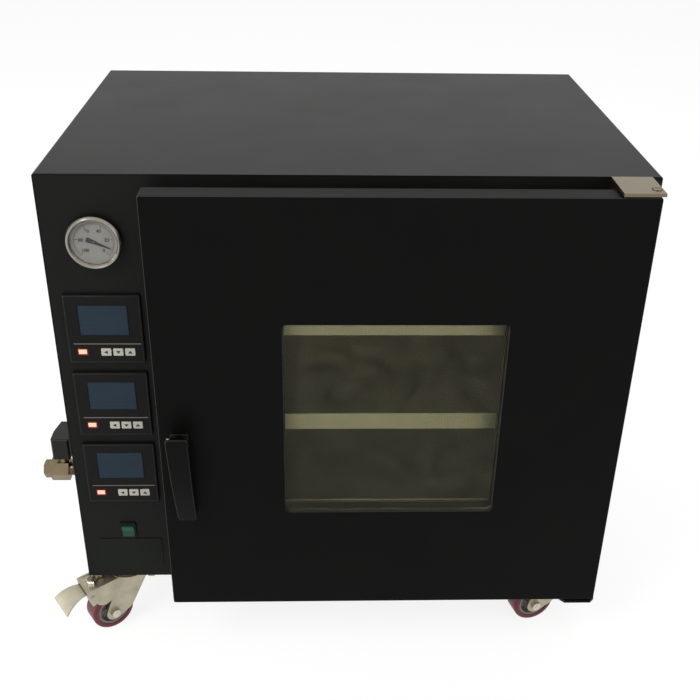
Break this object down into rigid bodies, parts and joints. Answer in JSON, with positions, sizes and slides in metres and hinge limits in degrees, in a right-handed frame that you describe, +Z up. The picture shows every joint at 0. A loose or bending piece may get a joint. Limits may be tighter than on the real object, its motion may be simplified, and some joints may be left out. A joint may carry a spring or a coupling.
{
  "type": "vacuum oven",
  "caption": "Cabinet on swivel casters with a glazed pin-hinged door, a stainless vacuum chamber with heated shelves, and a left column of gauge, controllers, switch and side valve.",
  "frame": {"origin": "on the floor, under the middle of the whole outline", "axes": "+Z up, +X to the right seen from the front, +Y towards the back; the door faces -Y"},
  "size_m": [0.821, 0.611, 0.7112],
  "materials": {
    "black_powder_coat": "satin black powder coat on sheet steel",
    "door_powder_coat": "satin black powder coat on sheet steel",
    "stainless_steel": "brushed stainless sheet",
    "mineral_wool": "bonded mineral wool",
    "silicone_rubber": "moulded silicone rubber",
    "shelf_aluminium": "mill-finished aluminium",
    "black_plastic": "fine-textured black plastic",
    "chromed_ring": "polished chromed ring",
    "dial_card": "printed matt dial",
    "clear_glass": "clear polished glass",
    "display_window": "smoked display window",
    "lamp_lens": "orange-red lamp lens",
    "key_plastic": "light key cap",
    "switch_green": "green translucent rocker",
    "plate_paint": "matt painted plate",
    "pointer_black": "matt black pointer",
    "nickel_plated_brass": "nickel-plated brass",
    "nickel_plated_steel": "brushed nickel-plated steel",
    "zinc_plated_steel": "zinc-plated pressed steel",
    "handle_enamel": "satin black cast handle",
    "tyre_rubber": "dark maroon polyurethane tread",
    "hub_plastic": "grey moulded hub"
  },
  "bodies": {
    "cabinet": {"outer_cover": "black_powder_coat", "front_panel": "black_powder_coat", "base_pan": "black_powder_coat", "rear_panel": "black_powder_coat", "chamber": "stainless_steel", "insulation": "mineral_wool", "chamber_gasket": "silicone_rubber", "shelf_runners": "stainless_steel", "heated_shelves": "shelf_aluminium", "shelf_sockets": "silicone_rubber", "gauge_case": "black_plastic", "gauge_bezel": "chromed_ring", "gauge_dial": "dial_card", "gauge_glass": "clear_glass", "controller_cases": "black_plastic", "controller_screens": "display_window", "controller_lamps": "lamp_lens", "switch_housing": "black_plastic", "service_plate": "plate_paint", "vacuum_tube": "stainless_steel", "valve_body": "nickel_plated_brass", "latch_keeper": "nickel_plated_steel", "upper_hinge": "nickel_plated_steel", "lower_hinge": "door_powder_coat", "caster_plates": "zinc_plated_steel", "power_gland": "black_plastic"},
    "door": {"door_shell": "door_powder_coat", "door_core": "mineral_wool", "door_liner": "stainless_steel", "window_glass": "clear_glass", "window_seal": "silicone_rubber", "inner_glass": "clear_glass", "handle_base": "handle_enamel"},
    "handle": {"door_handle": "handle_enamel"},
    "gauge_hand": {"gauge_pointer": "pointer_black"},
    "power_rocker": {"switch_rocker": "switch_green"},
    "valve_handle": {"valve_lever": "handle_enamel"},
    "key_1_left": {"key_1_left": "key_plastic"},
    "key_1_middle": {"key_1_middle": "key_plastic"},
    "key_1_right": {"key_1_right": "key_plastic"},
    "key_2_left": {"key_2_left": "key_plastic"},
    "key_2_middle": {"key_2_middle": "key_plastic"},
    "key_2_right": {"key_2_right": "key_plastic"},
    "key_3_left": {"key_3_left": "key_plastic"},
    "key_3_middle": {"key_3_middle": "key_plastic"},
    "key_3_right": {"key_3_right": "key_plastic"},
    "caster_front_left": {"fork_front_left": "zinc_plated_steel"},
    "wheel_front_left": {"hub_front_left": "hub_plastic", "tyre_front_left": "tyre_rubber"},
    "pedal_front_left": {"brake_pedal_front_left": "zinc_plated_steel"},
    "caster_front_right": {"fork_front_right": "zinc_plated_steel"},
    "wheel_front_right": {"hub_front_right": "hub_plastic", "tyre_front_right": "tyre_rubber"},
    "caster_rear_left": {"fork_rear_left": "zinc_plated_steel"},
    "wheel_rear_left": {"hub_rear_left": "hub_plastic", "tyre_rear_left": "tyre_rubber"},
    "caster_rear_right": {"fork_rear_right": "zinc_plated_steel"},
    "wheel_rear_right": {"hub_rear_right": "hub_plastic", "tyre_rear_right": "tyre_rubber"},
    "pedal_rear_right": {"brake_pedal_rear_right": "zinc_plated_steel"}
  },
  "joints": [
    {"name": "door_hinge", "type": "hinge", "parent": "cabinet", "child": "door", "pos_m": [0.3905, -0.2585, 0.1], "axis": [0, 0, 1], "range_deg": [0, 115]},
    {"name": "handle_turn", "type": "hinge", "parent": "door", "child": "handle", "pos_m": [-0.1735, -0.2725, 0.3755], "axis": [0, -1, 0], "range_deg": [0, 90]},
    {"name": "gauge_sweep", "type": "hinge", "parent": "cabinet", "child": "gauge_hand", "pos_m": [-0.265, -0.2245, 0.62701], "axis": [0, -1, 0], "range_deg": [-21, 249]},
    {"name": "rocker_tilt", "type": "hinge", "parent": "cabinet", "child": "power_rocker", "pos_m": [-0.265, -0.2165, 0.1859], "axis": [1, 0, 0], "range_deg": [-16, 0]},
    {"name": "valve_turn", "type": "hinge", "parent": "cabinet", "child": "valve_handle", "pos_m": [-0.3805, -0.0865, 0.229], "axis": [0, 0, 1], "range_deg": [0, 90]},
    {"name": "press_key_1_left", "type": "slide", "parent": "cabinet", "child": "key_1_left", "axis": [0, 1, 0], "range_m": [0, 0.001], "stiffness_N_per_m": 200, "springref_m": -0.0005},
    {"name": "press_key_1_middle", "type": "slide", "parent": "cabinet", "child": "key_1_middle", "axis": [0, 1, 0], "range_m": [0, 0.001], "stiffness_N_per_m": 200, "springref_m": -0.0005},
    {"name": "press_key_1_right", "type": "slide", "parent": "cabinet", "child": "key_1_right", "axis": [0, 1, 0], "range_m": [0, 0.001], "stiffness_N_per_m": 200, "springref_m": -0.0005},
    {"name": "press_key_2_left", "type": "slide", "parent": "cabinet", "child": "key_2_left", "axis": [0, 1, 0], "range_m": [0, 0.001], "stiffness_N_per_m": 200, "springref_m": -0.0005},
    {"name": "press_key_2_middle", "type": "slide", "parent": "cabinet", "child": "key_2_middle", "axis": [0, 1, 0], "range_m": [0, 0.001], "stiffness_N_per_m": 200, "springref_m": -0.0005},
    {"name": "press_key_2_right", "type": "slide", "parent": "cabinet", "child": "key_2_right", "axis": [0, 1, 0], "range_m": [0, 0.001], "stiffness_N_per_m": 200, "springref_m": -0.0005},
    {"name": "press_key_3_left", "type": "slide", "parent": "cabinet", "child": "key_3_left", "axis": [0, 1, 0], "range_m": [0, 0.001], "stiffness_N_per_m": 200, "springref_m": -0.0005},
    {"name": "press_key_3_middle", "type": "slide", "parent": "cabinet", "child": "key_3_middle", "axis": [0, 1, 0], "range_m": [0, 0.001], "stiffness_N_per_m": 200, "springref_m": -0.0005},
    {"name": "press_key_3_right", "type": "slide", "parent": "cabinet", "child": "key_3_right", "axis": [0, 1, 0], "range_m": [0, 0.001], "stiffness_N_per_m": 200, "springref_m": -0.0005},
    {"name": "swivel_front_left", "type": "hinge", "parent": "cabinet", "child": "caster_front_left", "pos_m": [-0.2795, -0.1815, 0.092], "axis": [0, 0, 1], "continuous": true},
    {"name": "roll_front_left", "type": "hinge", "parent": "caster_front_left", "child": "wheel_front_left", "pos_m": [-0.30917, -0.20189, 0.03175], "axis": [0.5664, -0.8241, 0], "continuous": true},
    {"name": "brake_front_left", "type": "hinge", "parent": "caster_front_left", "child": "pedal_front_left", "pos_m": [-0.33389, -0.21888, 0.076], "axis": [0.5664, -0.8241, 0], "range_deg": [0, 11.5]},
    {"name": "swivel_front_right", "type": "hinge", "parent": "cabinet", "child": "caster_front_right", "pos_m": [0.3605, -0.1815, 0.092], "axis": [0, 0, 1], "continuous": true},
    {"name": "roll_front_right", "type": "hinge", "parent": "caster_front_right", "child": "wheel_front_right", "pos_m": [0.32597, -0.19166, 0.03175], "axis": [0.2823, -0.9593, 0], "continuous": true},
    {"name": "swivel_rear_left", "type": "hinge", "parent": "cabinet", "child": "caster_rear_left", "pos_m": [-0.2795, 0.2485, 0.092], "axis": [0, 0, 1], "continuous": true},
    {"name": "roll_rear_left", "type": "hinge", "parent": "caster_rear_left", "child": "wheel_rear_left", "pos_m": [-0.2449, 0.25842, 0.03175], "axis": [-0.2756, 0.9613, 0], "continuous": true},
    {"name": "swivel_rear_right", "type": "hinge", "parent": "cabinet", "child": "caster_rear_right", "pos_m": [0.3605, 0.2485, 0.092], "axis": [0, 0, 1], "continuous": true},
    {"name": "roll_rear_right", "type": "hinge", "parent": "caster_rear_right", "child": "wheel_rear_right", "pos_m": [0.32542, 0.2566, 0.03175], "axis": [-0.225, -0.9744, 0], "continuous": true},
    {"name": "brake_rear_right", "type": "hinge", "parent": "caster_rear_right", "child": "pedal_rear_right", "pos_m": [0.29619, 0.26335, 0.076], "axis": [-0.225, -0.9744, 0], "range_deg": [0, 11.5]}
  ]
}
